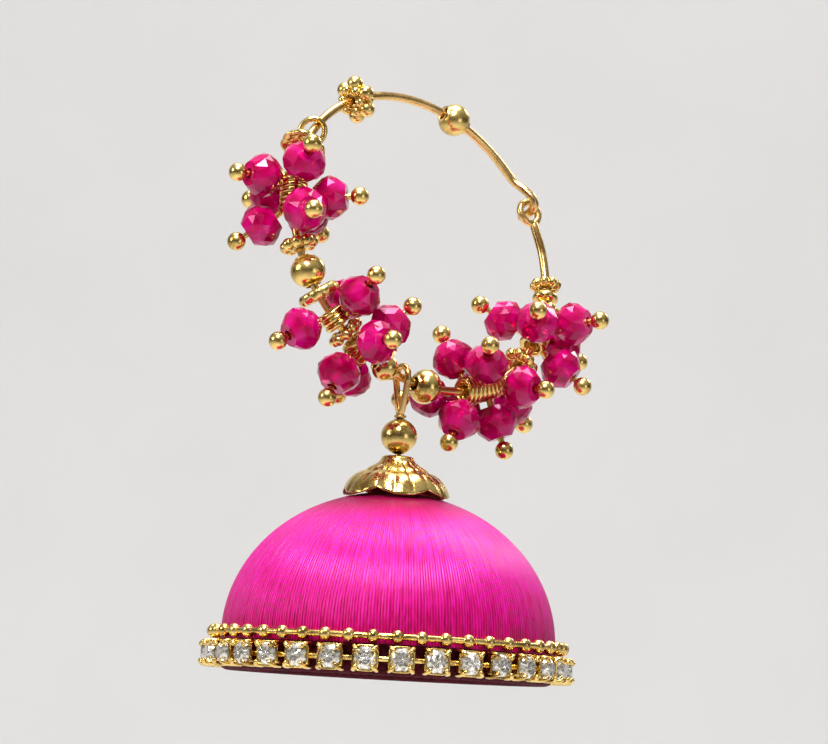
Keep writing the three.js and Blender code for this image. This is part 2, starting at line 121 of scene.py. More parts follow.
class Nodes:
    """A shader's node tree, with one way to add a node."""

    def __init__(self, tree: bpy.types.NodeTree) -> None:
        """Takes the tree that the nodes go into."""
        self.tree = tree

    def node(self, kind: str, settings: dict[str, object] | None = None,
             sockets: "dict[str | int, Wave | float] | None" = None) -> bpy.types.Node:
        """Adds a node.

        Args:
            kind: its type, without ShaderNode in front.
            settings: its properties, set first; stops are the places and colours of a ramp.
            sockets: values or links of its inputs, by name or number.

        Returns:
            The node.
        """
        node = self.tree.nodes.new(f"ShaderNode{kind}")
        for name, value in (settings or {}).items():
            if name == "stops":
                elements = node.color_ramp.elements
                while len(elements) < len(value):
                    elements.new(0.5)
                for element, (place, colour) in zip(elements, value):
                    element.position = place
                    element.color = (*colour, 1.0)
            else:
                setattr(node, name, value)
        for name, value in (sockets or {}).items():
            if isinstance(value, Wave):
                self.tree.links.new(value.socket, node.inputs[name])
            else:
                node.inputs[name].default_value = value
        return node

    def math(self, operation: str, *operands: "Wave | float", clamp: bool = False) -> "Wave":
        """Applies one maths node.

        Args:
            operation: name of the node's operation.
            operands: values and numbers, in order.
            clamp: holds the result between 0 and 1.

        Returns:
            The result.
        """
        settings = {"operation": operation, "use_clamp": clamp}
        return Wave(self, self.node("Math", settings, dict(enumerate(operands))).outputs[0])

    def axes(self, place: bpy.types.NodeSocket) -> "tuple[Wave, Wave, Wave]":
        """Splits a place.

        Args:
            place: socket that gives it.

        Returns:
            The values along x, y and z.
        """
        split = self.node("SeparateXYZ", sockets={0: Wave(self, place)})
        x, y, z = (Wave(self, out) for out in split.outputs)
        return x, y, z


class Wave:
    """A shader value that takes part in arithmetic."""

    def __init__(self, nodes: Nodes, socket: bpy.types.NodeSocket) -> None:
        """Wraps a socket that gives a value."""
        self.nodes = nodes
        self.socket = socket

    def __add__(self, other: "Wave | float") -> "Wave":
        """The sum of the value and another."""
        return self.nodes.math("ADD", self, other)

    def __radd__(self, other: float) -> "Wave":
        """The sum of a number and the value."""
        return self.nodes.math("ADD", other, self)

    def __sub__(self, other: "Wave | float") -> "Wave":
        """The difference of the value and another."""
        return self.nodes.math("SUBTRACT", self, other)

    def __rsub__(self, other: float) -> "Wave":
        """The difference of a number and the value."""
        return self.nodes.math("SUBTRACT", other, self)

    def __mul__(self, other: "Wave | float") -> "Wave":
        """The product of the value and another."""
        return self.nodes.math("MULTIPLY", self, other)

    def __rmul__(self, other: float) -> "Wave":
        """The product of a number and the value."""
        return self.nodes.math("MULTIPLY", other, self)

    def __truediv__(self, other: "Wave | float") -> "Wave":
        """The quotient of the value and another."""
        return self.nodes.math("DIVIDE", self, other)

    def __rtruediv__(self, other: float) -> "Wave":
        """The quotient of a number and the value."""
        return self.nodes.math("DIVIDE", other, self)

    def math(self, operation: str, *others: "Wave | float") -> "Wave":
        """Applies one maths node to the value and other operands."""
        return self.nodes.math(operation, self, *others)

    def sine(self) -> "Wave":
        """The sine of the value, from -1 to 1."""
        return self.math("SINE")

    def clamped(self) -> "Wave":
        """The value held between 0 and 1."""
        return self.nodes.math("ADD", self, 0.0, clamp=True)

    def spread(self, low: float, high: float) -> "Wave":
        """Maps low..high to 0..1 and clamps it.

        Args:
            low: value that becomes 0.
            high: value that becomes 1.

        Returns:
            The mapped value.
        """
        mapped = self.nodes.node("MapRange", sockets={"Value": self, "From Min": low, "From Max": high})
        return Wave(self.nodes, mapped.outputs["Result"])


class Recipe(Nodes):
    """A material under construction: its principled shader and texture helpers."""

    def __init__(self, name: str) -> None:
        """Starts a material.

        Args:
            name: of the material.
        """
        self.material = bpy.data.materials.new(name)
        self.material.use_nodes = True
        super().__init__(self.material.node_tree)
        self.shader = next(n for n in self.tree.nodes if n.type == "BSDF_PRINCIPLED")

    def set(self, **values: float | Row) -> "Recipe":
        """Sets the shader's own sockets.

        Args:
            values: value of each socket, with underscores for the spaces in its name.

        Returns:
            This recipe.
        """
        for name, value in values.items():
            self.shader.inputs[name.replace("_", " ")].default_value = value
        return self

    def drive(self, name: str, source: bpy.types.NodeSocket) -> None:
        """Links a socket to one of the shader's varying inputs."""
        self.tree.links.new(source, self.shader.inputs[name])

    def place(self) -> tuple[Wave, Wave, Wave]:
        """Object coordinates, in millimetres, one value for each axis."""
        x, y, z = self.axes(self.node("TexCoord").outputs["Object"])
        return x * PER_METRE, y * PER_METRE, z * PER_METRE

    def own_place(self) -> tuple[Wave, Wave, Wave]:
        """Coordinates within the repeated shape, in millimetres, as the Repeater stored them."""
        return self.axes(self.node("Attribute", {"attribute_name": "local"}).outputs["Vector"])

    def tone(self) -> Wave:
        """Chance value from 0 to 1, the same over one copy of a repeated shape."""
        return Wave(self, self.node("Attribute", {"attribute_name": "tone"}).outputs["Fac"])

    def noise(self, at: Iterable[Wave | float], scale: float, detail: float = 2.0) -> Wave:
        """Noise from 0 to 1.

        Args:
            at: the three coordinates.
            scale: features in one unit of the coordinates.
            detail: number of octaves.

        Returns:
            The noise value.
        """
        joined = Wave(self, self.node("CombineXYZ", sockets=dict(enumerate(at))).outputs[0])
        noise = self.node("TexNoise", sockets={"Vector": joined, "Scale": scale, "Detail": detail})
        return Wave(self, noise.outputs[0])

    def colour(self, factor: Wave, *stops: Row) -> None:
        """Base colour from a ramp.

        Args:
            factor: place on the ramp, from 0 to 1.
            stops: colours, evenly spaced.
        """
        places = [(i / (len(stops) - 1), stop) for i, stop in enumerate(stops)]
        self.drive("Base Color", self.node("ValToRGB", {"stops": places}, {0: factor}).outputs[0])

    def bump(self, height: Wave, depth_mm: float, strength: float = 1.0) -> None:
        """Relief from a height value.

        Args:
            height: relief from 0 to 1.
            depth_mm: what 1 stands for.
            strength: share of the relief that shows.
        """
        sockets = {"Strength": strength, "Distance": depth_mm * MM, "Height": height}
        self.drive("Normal", self.node("Bump", sockets=sockets).outputs[0])


@dataclass(frozen=True)
class GoldFinish:
    """Plated brass: bright and a little uneven, with darker blotches placed by noise."""

    bright: tuple[float, float, float] = (0.90, 0.65, 0.21)
    deep: tuple[float, float, float] = (0.40, 0.22, 0.045)
    roughness: float = 0.2
    grain: float = 0.03

    def material(self, name: str) -> bpy.types.Material:
        """Builds the material.

        Args:
            name: of the material.

        Returns:
            The material.
        """
        recipe = Recipe(name).set(Metallic=1.0, Coat_Weight=0.15, Coat_Roughness=0.05)
        x, y, z = recipe.place()
        blotch = recipe.noise((x, y, z), 0.45, 3.0)
        fine = recipe.noise((x, y, z), 6.0, 2.0)
        recipe.colour((blotch * 0.7 + fine * 0.3).spread(0.34, 0.66), self.deep, self.bright, self.bright)
        uneven = blotch.spread(0.35, 0.75) * 0.16 + (self.roughness - 0.06)
        recipe.drive("Roughness", uneven.socket)
        recipe.bump(fine, self.grain, 0.5)
        return recipe.material


@dataclass(frozen=True)
class PinkFinish:
    """Deep magenta cut glass, with painted internal glints in its colour."""

    dark: tuple[float, float, float] = (0.27, 0.0, 0.035)
    middle: tuple[float, float, float] = (0.58, 0.0, 0.105)
    light: tuple[float, float, float] = (0.84, 0.002, 0.27)

    def material(self, name: str) -> bpy.types.Material:
        """Builds the material.

        Args:
            name: of the material.

        Returns:
            The material.
        """
        recipe = Recipe(name).set(
            Roughness=0.07, IOR=1.56, Transmission_Weight=0.35, Specular_Tint=(1.0, 0.35, 0.75, 1.0),
            Coat_Weight=0.2, Coat_Roughness=0.03, Coat_IOR=1.5,
        )
        x, y, z = recipe.own_place()
        shift = recipe.tone() * 7.0
        # Painted reflections: the cut noise and the lightening towards the holes stand for internal facet
        # glints; the per-bead tone is chance variation of the glass.
        cut = recipe.noise((x + shift, y, z + shift), 0.9, 0.0)
        depth = (z * 1.4).math("ABSOLUTE").spread(0.0, 2.4)
        recipe.colour((cut.spread(0.3, 0.7) * 0.6 + recipe.tone() * 0.25 + depth * 0.3).clamped(),
                      self.dark, self.middle, self.light)
        return recipe.material


@dataclass(frozen=True)
class SilkFinish:
    """Glossy thread wound over the dome from crown to rim, with a painted highlight over its upper part and
    painted shade just under the cap.
    """

    axis_mm: tuple[float, float]
    equator_mm: float
    height_mm: float
    threads: int = 340
    deep: tuple[float, float, float] = (0.17, 0.0, 0.022)
    middle: tuple[float, float, float] = (0.60, 0.0, 0.135)
    light: tuple[float, float, float] = (0.80, 0.012, 0.50)

    def material(self, name: str) -> bpy.types.Material:
        """Builds the material.

        Args:
            name: of the material.

        Returns:
            The material.
        """
        recipe = Recipe(name).set(
            Roughness=0.4, Metallic=0.0, Anisotropic=0.75, Sheen_Weight=0.06, Sheen_Roughness=0.3,
            Sheen_Tint=(1.0, 0.25, 0.8, 1.0), Specular_IOR_Level=0.75, Specular_Tint=(0.85, 0.3, 1.0, 1.0),
        )
        x, y, z = recipe.place()
        x, y = x - self.axis_mm[0], y - self.axis_mm[1]
        reach = (x * x + y * y).math("SQRT").math("MAXIMUM", 0.5)
        turn = y.math("ARCTAN2", x)
        east, north = x / reach, y / reach
        wander = recipe.noise((east * 15.0, north * 15.0, z * 0.12), 0.5, 2.0)
        strands = ((turn * float(self.threads) + wander * 9.0).sine() + 1.0) * 0.5
        streak = recipe.noise((east * 60.0, north * 60.0, z * 0.22), 1.0, 3.0)
        flecks = recipe.noise((east * 70.0, north * 70.0, z * 0.9), 1.0, 2.0)
        mixed = (strands * 0.2 + streak * 0.36 + flecks * 0.44).spread(0.36, 0.64)
        height = (z - self.equator_mm) / self.height_mm
        # Painted highlight: the base colour is lifted towards the light stop from the equator up to near the
        # cap.
        painted_highlight_band = height.spread(-0.05, 0.5) * (1.0 - height.spread(0.86, 0.98))
        # Painted shade: the base colour is darkened just under the cap, from 0.8 to 0.95 of the dome's
        # height.
        crown = height.spread(0.8, 0.95)
        # One ramp value from the thread streaks, the painted highlight and the painted shade.
        tone = (mixed * 0.62 + painted_highlight_band * 0.38) * (1.0 - crown * 0.72)
        recipe.colour(tone.clamped(), self.deep, self.middle, self.light)
        recipe.drive("Roughness", (streak.spread(0.3, 0.8) * 0.2 + 0.3).socket)
        recipe.bump((strands * 0.45 + streak * 0.3 + flecks * 0.25).clamped(), 0.1, 0.9)
        return recipe.material


@dataclass(frozen=True)
class ShadedLiningFinish:
    """Woven lining inside the dome and behind the cup chain, coloured near black as painted shade."""

    dark: tuple[float, float, float] = (0.04, 0.001, 0.005)
    worn_painted_shade: tuple[float, float, float] = (0.10, 0.004, 0.014)

    def material(self, name: str) -> bpy.types.Material:
        """Builds the material.

        Args:
            name: of the material.

        Returns:
            The material.
        """
        recipe = Recipe(name).set(Roughness=0.85, Specular_IOR_Level=0.2)
        x, y, z = recipe.place()
        weave = (x * 9.0).sine() * (z * 9.0).sine() * 0.5 + 0.5
        mottle = recipe.noise((x, y, z), 0.5, 3.0)
        # Painted shade: both stops are near black, so the inside of the dome and the band behind the cups
        # read as shaded.
        recipe.colour((weave * 0.3 + mottle * 0.7).spread(0.3, 0.7), self.dark, self.worn_painted_shade)
        recipe.bump(weave, 0.08, 0.6)
        return recipe.material


@dataclass(frozen=True)
class CrystalFinish:
    """Clear cut stone over a foil back, with painted facet reflections in its colour."""

    base: tuple[float, float, float] = (0.95, 0.94, 0.88)
    shade: tuple[float, float, float] = (0.60, 0.57, 0.47)
    dark: tuple[float, float, float] = (0.20, 0.17, 0.11)

    def material(self, name: str) -> bpy.types.Material:
        """Builds the material.

        Args:
            name: of the material.

        Returns:
            The material.
        """
        recipe = Recipe(name).set(
            Roughness=0.05, Metallic=0.75, Coat_Weight=1.0, Coat_Roughness=0.02, IOR=1.6,
        )
        x, y, _ = recipe.own_place()
        turn = y.math("ARCTAN2", x)
        reach = (x * x + y * y).math("SQRT")
        # Painted reflections: star, wedge and noise patterns set bright and dark facets into the base colour;
        # the dark and shade stops are painted dark reflections.
        star = ((turn * 8.0 + recipe.tone() * 6.0).sine() * (reach * 9.0).sine()).math("SIGN") * 0.5 + 0.5
        wedge = (turn * 4.0 + reach * 3.0).sine() * 0.5 + 0.5
        spark = recipe.noise((x * 2.0 + recipe.tone() * 20.0, y * 2.0, 0.0), 1.6, 1.0)
        recipe.colour((star * 0.35 + wedge * 0.25 + spark.spread(0.35, 0.65) * 0.4).clamped(),
                      self.dark, self.shade, self.base, self.base)
        recipe.bump(star * 0.5 + wedge * 0.5, 0.12, 0.6)
        return recipe.material


# Shapes


def angles(count: int) -> list[float]:
    """Even steps of a full turn, in radians."""
    return [math.tau * i / count for i in range(count)]


def polar(reach: float, angle: float, height: float = 0.0) -> Vector:
    """Point by its distance from the Z axis, its angle and its height."""
    return Vector((reach * math.cos(angle), reach * math.sin(angle), height))


class Shape:
    """Vertices and faces in millimetres, gathered from turned, swept and round forms."""

    def __init__(self) -> None:
        """Starts without points."""
        self.points: list[Vector] = []
        self.faces: list[tuple[int, ...]] = []
        self.smooth: list[bool] = []

    def grid(self, rows: Sequence[Sequence[Vector]], wrap_rows: bool = False, wrap_columns: bool = True,
             smooth: bool = True) -> "Shape":
        """Joins rows of points with four-sided faces.

        Args:
            rows: rows of equal length.
            wrap_rows: joins the last row to the first.
            wrap_columns: joins the last point of a row to its first.
            smooth: shades the faces smoothly.

        Returns:
            This shape.
        """
        start, width = len(self.points), len(rows[0])
        for row in rows:
            self.points.extend(row)
        for i in range(len(rows) if wrap_rows else len(rows) - 1):
            a, b = start + i * width, start + ((i + 1) % len(rows)) * width
            for j in range(width if wrap_columns else width - 1):
                k = (j + 1) % width
                self.faces.append((a + j, a + k, b + k, b + j))
                self.smooth.append(smooth)
        return self

    def cap(self, row: Sequence[Vector], smooth: bool = False) -> "Shape":
        """Closes a ring of points with one face.

        Args:
            row: points of the ring.
            smooth: shades the face smoothly.

        Returns:
            This shape.
        """
        start = len(self.points)
        self.points.extend(row)
        self.faces.append(tuple(range(start, start + len(row))))
        self.smooth.append(smooth)
        return self

    def turned(self, profile: Sequence[Row], sides: int, place: Matrix = Matrix(), closed: bool = False,
               radius: Callable[[float, int], float] | None = None, smooth: bool = True) -> "Shape":
        """Turns a profile of radius and height about the local Z axis.

        Args:
            profile: pairs of radius and height.
            sides: number of steps round the axis.
            place: where the turned form goes.
            closed: joins the end of the profile to its start.
            radius: gives a factor on the radius from the angle and the profile's row.
            smooth: shades the faces smoothly.

        Returns:
            This shape.
        """
        rows = []
        for i, (r, z) in enumerate(profile):
            rows.append([place @ polar(r * (radius(t, i) if radius else 1.0), t, z) for t in angles(sides)])
        return self.grid(rows, wrap_rows=closed, smooth=smooth)

    def faceted(self, rings: Sequence[Row], sides: int, turn: float = 0.0) -> "Shape":
        """Joins rings with flat facets, split in two where one ring is turned against the next.

        Args:
            rings: radius, height and turn of each ring, the turn in steps of a side.
            sides: points in each ring.
            turn: of the whole form, in steps of a side.

        Returns:
            This shape.
        """
        for reach, height, shift in rings:
            self.points += [polar(reach, math.tau * (j + shift + turn) / sides, height) for j in range(sides)]
        for i, (lower, upper) in enumerate(zip(rings, rings[1:])):
            start = len(self.points) + (i - len(rings)) * sides
            for j in range(sides):
                a, b = start + j, start + (j + 1) % sides
                c, d = b + sides, a + sides
                if lower[2] == upper[2]:
                    self.faces.append((a, b, c, d))
                elif lower[2] < upper[2]:
                    self.faces += [(a, b, d), (b, c, d)]
                else:
                    self.faces += [(a, c, d), (a, b, c)]
        self.smooth += [False] * (len(self.faces) - len(self.smooth))
        return self

    def ball(self, centre: Vector, radius: float, sides: int = 12, rows: int = 8) -> "Shape":
        """Adds a smooth ball.

        Args:
            centre: of the ball.
            radius: of the ball.
            sides: steps round it.
            rows: steps from pole to pole.

        Returns:
            This shape.
        """
        steps = [math.pi * (i + 0.02) / (rows + 0.04) for i in range(rows + 1)]
        profile = [(radius * math.sin(t), -radius * math.cos(t)) for t in steps]
        return self.turned(profile, sides, Matrix.Translation(centre))

    def tube(self, path: Sequence[Vector], radius: float, sides: int = 10, closed: bool = False) -> "Shape":
        """Sweeps a round section along a path.

        Args:
            path: points along the middle.
            radius: of the section.
            sides: of the section.
            closed: joins the end to the start.

        Returns:
            This shape.
        """
        count = len(path)
        rows = []
        across = None
        for i, point in enumerate(path):
            before = path[(i - 1) % count] if closed or i else path[i]
            after = path[(i + 1) % count] if closed or i < count - 1 else path[i]
            forward = (after - before).normalized()
            if across is None:
                across = forward.orthogonal()
            across = (across - forward * across.dot(forward)).normalized()
            beside = forward.cross(across)
            rows.append([point + (across * math.cos(t) + beside * math.sin(t)) * radius
                         for t in angles(sides)])
        self.grid(rows, wrap_rows=closed)
        if not closed:
            for row, middle, inner in ((rows[0], path[0], path[1]), (rows[-1], path[-1], path[-2])):
                tip = (middle - inner).normalized() * radius
                end = [middle + (p - middle) * 0.7 + tip * 0.55 for p in row]
                self.grid([row, end]).cap(end, smooth=True)
        return self

    def mesh(self, name: str) -> bpy.types.Mesh:
        """Writes the shape as a mesh in metres, with doubles merged and normals facing out.

        Args:
            name: of the mesh.

        Returns:
            The mesh.
        """
        mesh = bpy.data.meshes.new(name)
        mesh.from_pydata([p * MM for p in self.points], [], self.faces)
        mesh.polygons.foreach_set("use_smooth", self.smooth)
        build = bmesh.new()
        build.from_mesh(mesh)
        bmesh.ops.remove_doubles(build, verts=build.verts, dist=1e-7)
        bmesh.ops.recalc_face_normals(build, faces=build.faces)
        build.to_mesh(mesh)
        build.free()
        return mesh


def smooth_path(knots: Sequence[Vector], steps: int, closed: bool = False) -> list[Vector]:
    """Runs a smooth curve through knots.

    Args:
        knots: points that the curve passes.
        steps: points between one knot and the next.
        closed: the curve returns to its first knot.

    Returns:
        The points of the curve.
    """
    count = len(knots)
    path = []
    for i in range(count if closed else count - 1):
        if closed:
            a, b, c, d = (knots[(i + k) % count] for k in (-1, 0, 1, 2))
        else:
            a, b, c, d = (knots[min(max(i + k, 0), count - 1)] for k in (-1, 0, 1, 2))
        for s in range(steps):
            t = s / steps
            path.append(0.5 * (2 * b + (c - a) * t + (2 * a - 5 * b + 4 * c - d) * t ** 2
                               + (3 * b - a - 3 * c + d) * t ** 3))
    if not closed:
        path.append(knots[-1].copy())
    return path


def add_piece(name: str, mesh: bpy.types.Mesh, material: bpy.types.Material, body: Body,
              nodes: Sequence[str] = ()) -> bpy.types.Object:
    """Puts a mesh into the scene as a piece of the object.

    Args:
        name: of the piece.
        mesh: its mesh, in metres.
        material: its only material.
        body: that it rides on.
        nodes: CAD nodes that it stands for.

    Returns:
        The new object.
    """
    piece = bpy.data.objects.new(name, mesh)
    bpy.context.scene.collection.objects.link(piece)
    mesh.materials.clear()
    mesh.materials.append(material)
    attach(piece, body.value)
    if nodes:
        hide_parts(*nodes)
    return piece


class Repeater:
    """Copies one small shape onto many places with a geometry node tree."""

    def __init__(self) -> None:
        """Builds the tree: its inputs, the copies on points and their finish."""
        self.tree = bpy.data.node_groups.new("repeat_on_places", "GeometryNodeTree")
        face = self.tree.interface
        face.new_socket("Places", in_out="INPUT", socket_type="NodeSocketGeometry")
        for label, kind in (("Shape", "Object"), ("Finish", "Material"), ("Smallest", "Float"),
                            ("Largest", "Float"), ("Seed", "Int")):
            face.new_socket(label, in_out="INPUT", socket_type=f"NodeSocket{kind}")
        face.new_socket("Copies", in_out="OUTPUT", socket_type="NodeSocketGeometry")
        nodes, links = self.tree.nodes, self.tree.links
        given, result = nodes.new("NodeGroupInput"), nodes.new("NodeGroupOutput")
        info, turn = nodes.new("GeometryNodeObjectInfo"), nodes.new("GeometryNodeInputNamedAttribute")
        turn.data_type = "FLOAT_VECTOR"
        turn.inputs["Name"].default_value = "turn"
        rotate, size = nodes.new("FunctionNodeEulerToRotation"), nodes.new("FunctionNodeRandomValue")
        copies = nodes.new("GeometryNodeInstanceOnPoints")
        real, finish = nodes.new("GeometryNodeRealizeInstances"), nodes.new("GeometryNodeSetMaterial")
        number = next(s for s in size.outputs if s.enabled)
        low, high = (s for s in size.inputs if s.enabled and s.name in ("Min", "Max"))
        for a, b in (
            (given.outputs["Shape"], info.inputs["Object"]),
            (given.outputs["Smallest"], low), (given.outputs["Largest"], high),
            (given.outputs["Seed"], size.inputs["Seed"]),
            (turn.outputs["Attribute"], rotate.inputs[0]),
            (given.outputs["Places"], copies.inputs["Points"]),
            (info.outputs["Geometry"], copies.inputs["Instance"]),
            (rotate.outputs[0], copies.inputs["Rotation"]), (number, copies.inputs["Scale"]),
            (copies.outputs[0], real.inputs[0]), (real.outputs[0], finish.inputs["Geometry"]),
            (given.outputs["Finish"], finish.inputs["Material"]), (finish.outputs[0], result.inputs[0]),
        ):
            links.new(a, b)

    def copies(self, name: str, shape: Shape, places: Sequence[Matrix], material: bpy.types.Material,
               jitter: float = 0.0, seed: int = 1) -> bpy.types.Mesh:
        """Makes one mesh with a copy of the shape at each place.

        Args:
            name: of the new mesh.
            shape: the small shape, about its own origin.
            places: a matrix for each copy, in millimetres.
            material: of the copies.
            jitter: most that a copy is smaller than the shape, as a share.
            seed: of the sizes.

        Returns:
            The mesh, in metres.
        """
        scene = bpy.context.scene.collection.objects
        part = bpy.data.objects.new(f"{name}_shape", shape.mesh(f"{name}_shape"))
        local = part.data.attributes.new("local", "FLOAT_VECTOR", "POINT")
        local.data.foreach_set("vector", [v * PER_METRE for vertex in part.data.vertices for v in vertex.co])
        points = bpy.data.meshes.new(f"{name}_places")
        points.from_pydata([m.to_translation() * MM for m in places], [], [])
        turns = points.attributes.new("turn", "FLOAT_VECTOR", "POINT")
        turns.data.foreach_set("vector", [v for m in places for v in m.to_euler()])
        holder = bpy.data.objects.new(f"{name}_places", points)
        chance = random.Random(seed)
        tones = points.attributes.new("tone", "FLOAT", "POINT")
        tones.data.foreach_set("value", [chance.random() for _ in places])
        for thing in (part, holder):
            scene.link(thing)
        modifier = holder.modifiers.new("repeat", "NODES")
        modifier.node_group = self.tree
        values = {"Shape": part, "Finish": material, "Smallest": 1.0 - jitter, "Largest": 1.0, "Seed": seed}
        for item in self.tree.interface.items_tree:
            if item.in_out == "INPUT" and item.name in values:
                modifier[item.identifier] = values[item.name]
        graph = bpy.context.evaluated_depsgraph_get()
        mesh = bpy.data.meshes.new_from_object(holder.evaluated_get(graph))
        mesh.name = name
        for thing in (holder, part):
            data = thing.data
            bpy.data.objects.remove(thing)
            bpy.data.meshes.remove(data)
        return mesh


def along_axis(point: Vector, axis: Vector, reference: Vector) -> Matrix:
    """Matrix that carries local Z to an axis at a point, with local X towards a reference.

    Args:
        point: where the origin goes.
        axis: where local Z points.
        reference: direction that local X turns towards.

    Returns:
        The matrix.
    """
    z = axis.normalized()
    x = (reference - z * reference.dot(z)).normalized()
    y = z.cross(x)
    matrix = Matrix((x, y, z)).transposed().to_4x4()
    matrix.translation = point
    return matrix


# The earring


@dataclass
class Hoop:
    """The leaning wire hoop and what lies on it, by stations in degrees from its bottom."""

    radius: float = 14.5
    wire: float = 0.8
    lean: float = 19.2
    clasp: float = 108.0  # station of the closure
    eye_section: float = 0.35  # radius
    down: Vector = field(init=False)
    front: Vector = field(init=False)

    def __post_init__(self) -> None:
        """Works out the leaning plane of the hoop."""
        tilt = math.radians(self.lean)
        self.down = Vector((0, -math.sin(tilt), -math.cos(tilt)))
        self.front = Vector((0, -math.cos(tilt), math.sin(tilt)))

    def station(self, degrees: float) -> tuple[Vector, Vector, Vector]:
        """Point on the wire, with the directions outwards and along it.

        Args:
            degrees: station on the hoop.

        Returns:
            The point, the way outwards and the way along the wire.
        """
        angle = math.radians(degrees)
        east = Vector((1, 0, 0))
        outward = east * math.sin(angle) + self.down * math.cos(angle)
        along = east * math.cos(angle) - self.down * math.sin(angle)
        return self.down * self.radius + outward * self.radius, outward, along

    def pin_direction(self, degrees: float, around: float, lean: float) -> Vector:
        """Direction of a headpin that is turned round the wire and leans along it.

        Args:
            degrees: station on the hoop.
            around: turn round the wire, in degrees.
            lean: along the wire, in degrees.

        Returns:
            The direction.
        """
        _, outward, along = self.station(degrees)
        turn, slope = math.radians(around), math.radians(lean)
        away = outward * math.cos(turn) + self.front * math.sin(turn)
        return away * math.cos(slope) + along * math.sin(slope)

    def shape(self) -> Shape:
        """The wire with its closure.

        Returns:
            The shape.
        """
        # The hooked end and the plain wire: stations, and distances in front of the hoop's plane
        reach = self.wire / 2 + GAP + self.eye_section + 0.1
        knots = [(self.clasp, -reach), (self.clasp + 0.1, 0.0), (self.clasp + 1.2, reach * 0.85),
                 (self.clasp + 4.5, reach), (self.clasp + 9, reach * 0.55), (self.clasp + 12.5, 0.12)]
        knots += [(d, 0.0) for d in range(int(self.clasp) + 16, int(360 + self.clasp) - 9, 6)]
        knots.append((360 + self.clasp - 4.2, 0.0))
        path = smooth_path([self.station(d)[0] + self.front * f for d, f in knots], 4)
        shape = Shape().tube(path, self.wire / 2, 12)
        point, outward, along = self.station(self.clasp)
        eye = self.wire / 2 + GAP + self.eye_section
        ring = [point + (outward * math.cos(t) + along * math.sin(t)) * eye for t in angles(28)]
        return shape.tube(ring, self.eye_section, 10, closed=True)


@dataclass(frozen=True)
class Threaded:
    """One piece threaded on the hoop."""

    name: str
    at: float
    kind: Kind
    diameter: float
    length: float


THREADED = (
    Threaded("ear_bead", 153.5, Kind.BALL, 3.0, 2.7),
    Threaded("daisy_spacer", -159.9, Kind.DAISY, 4.5, 1.6),
    Threaded("stop_ring", -132, Kind.RING, 2.4, 0.6),
    Threaded("cluster_cap", -125.5, Kind.CAP, 4.2, 1.4),
    Threaded("knobbed_spacer_1", -83.2, Kind.KNOBBED, 3.6, 1.1),
    Threaded("round_bead_1", -73, Kind.BALL, 3.2, 2.8),
    Threaded("fluted_disc", -64.0, Kind.FLUTED, 4.0, 1.0),
    Threaded("knobbed_spacer_2", -47.3, Kind.KNOBBED, 3.6, 0.8),
    Threaded("small_bead", -27.7, Kind.BALL, 2.5, 2.1),
    Threaded("round_bead_2", -9.5, Kind.BALL, 3.2, 2.6),
    Threaded("knobbed_spacer_3", 40.5, Kind.KNOBBED, 3.6, 1.1),
    Threaded("end_spacer_1", 68.2, Kind.KNOBBED, 3.0, 0.8),
    Threaded("end_bead", 73.6, Kind.BALL, 2.4, 1.3),
    Threaded("end_spacer_2", 79.0, Kind.KNOBBED, 3.0, 0.8),
)

# Clusters: station of the middle loop, then each headpin's turn round the wire and lean along it
CLUSTERS = (
    (-102.5, ((356, 17), (69, -9), (276, -12), (209, 10), (135, 1), (310, 28), (71, 23))),
    (-53.8, ((345, -8), (192, -7), (112, -15))),
    (-39.8, ((346, 13), (73, 5), (145, 9), (280, 16))),
    (17.0, ((256, -35), (191, 0), (350, -45), (282, 6), (118, -18),
            (355, -5), (226, 29), (63, 3), (330, 31))),
    (56.0, ((24, -17), (199, 7), (124, -16), (347, 13), (62, 5))),
)


